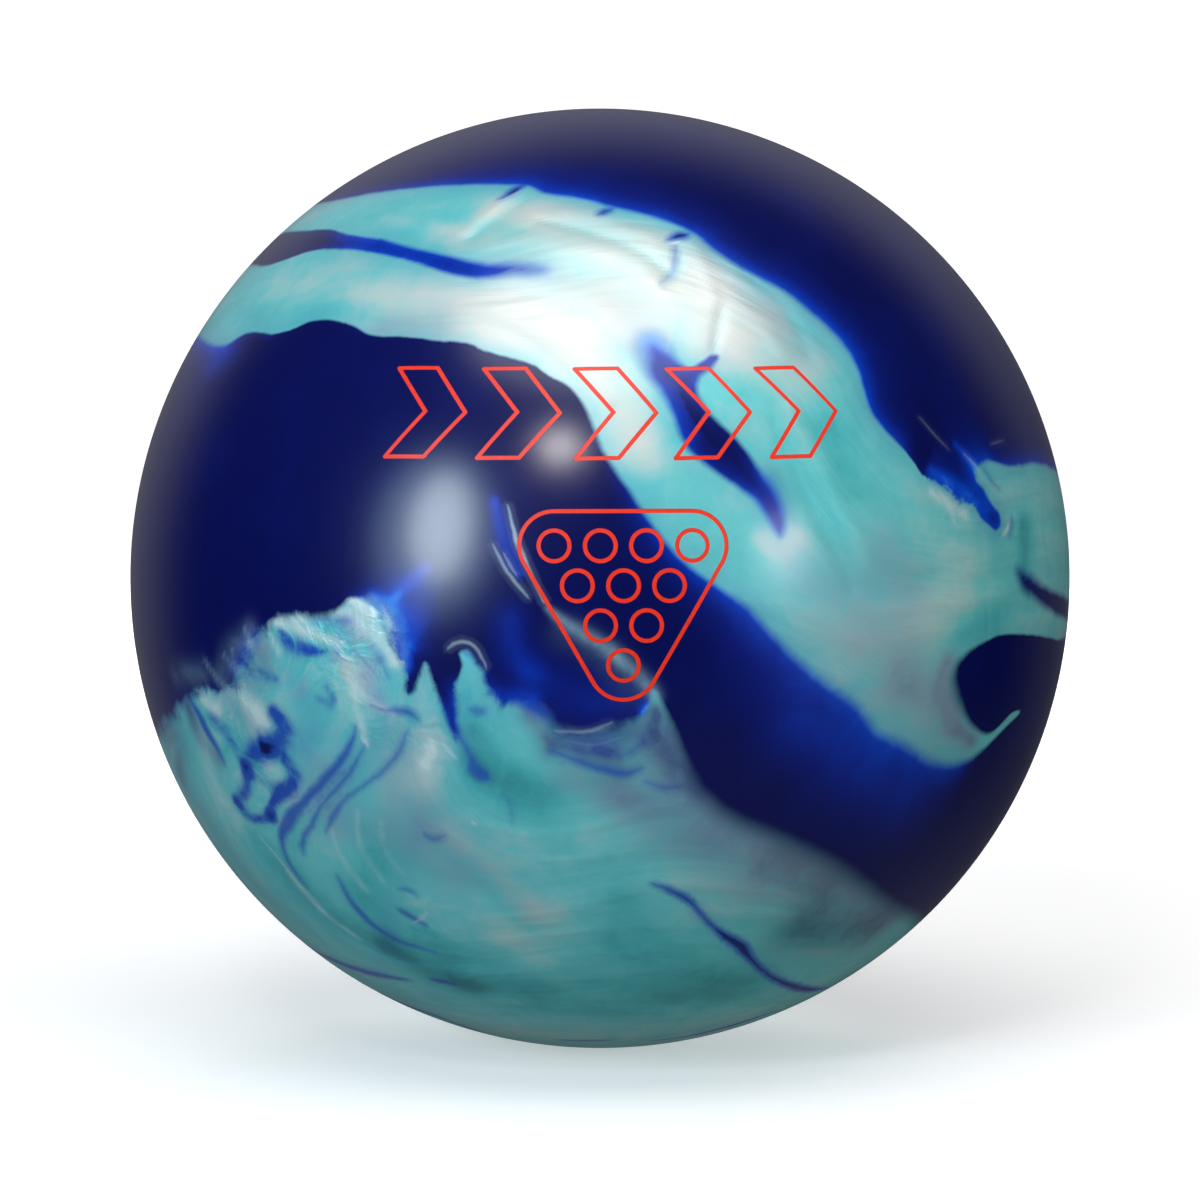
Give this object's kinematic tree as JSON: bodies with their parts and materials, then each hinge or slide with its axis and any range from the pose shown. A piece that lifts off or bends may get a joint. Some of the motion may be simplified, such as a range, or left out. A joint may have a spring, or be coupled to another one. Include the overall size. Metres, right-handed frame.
{
  "type": "bowling ball",
  "caption": "Undrilled ten-pin bowling ball: swirled pearl cover cast over a filler, a bulb-shaped weight block with its flip block, a locator pin and paint-filled engraved figures.",
  "frame": {"origin": "centre of the ball", "axes": "+Z along the axis of the weight block, up through the locator pin; the decorated face points along -Y"},
  "size_m": [0.217, 0.217, 0.217],
  "materials": {
    "cover_resin": "polished pearl resin, navy and royal blue swirled with mint and cream",
    "filler_resin": "cast resin with light filler",
    "bulb_resin": "cast resin",
    "slug_resin": "cast resin with heavy filler",
    "flip_resin": "cast resin",
    "pin_resin": "polished resin",
    "mark_paint": "gloss paint",
    "figure_paint": "gloss paint"
  },
  "bodies": {
    "root": {"coverstock": "cover_resin", "filler": "filler_resin", "weight_block_bulb": "bulb_resin", "weight_block_slug": "slug_resin", "flip_block": "flip_resin", "locator_pin": "pin_resin", "balance_mark_paint": "mark_paint", "chevron_paint_1": "figure_paint", "chevron_paint_2": "figure_paint", "chevron_paint_3": "figure_paint", "chevron_paint_4": "figure_paint", "chevron_paint_5": "figure_paint", "rack_outline_paint": "figure_paint", "pin_spot_paint_01": "figure_paint", "pin_spot_paint_02": "figure_paint", "pin_spot_paint_03": "figure_paint", "pin_spot_paint_04": "figure_paint", "pin_spot_paint_05": "figure_paint", "pin_spot_paint_06": "figure_paint", "pin_spot_paint_07": "figure_paint", "pin_spot_paint_08": "figure_paint", "pin_spot_paint_09": "figure_paint", "pin_spot_paint_10": "figure_paint"}
  },
  "joints": []
}
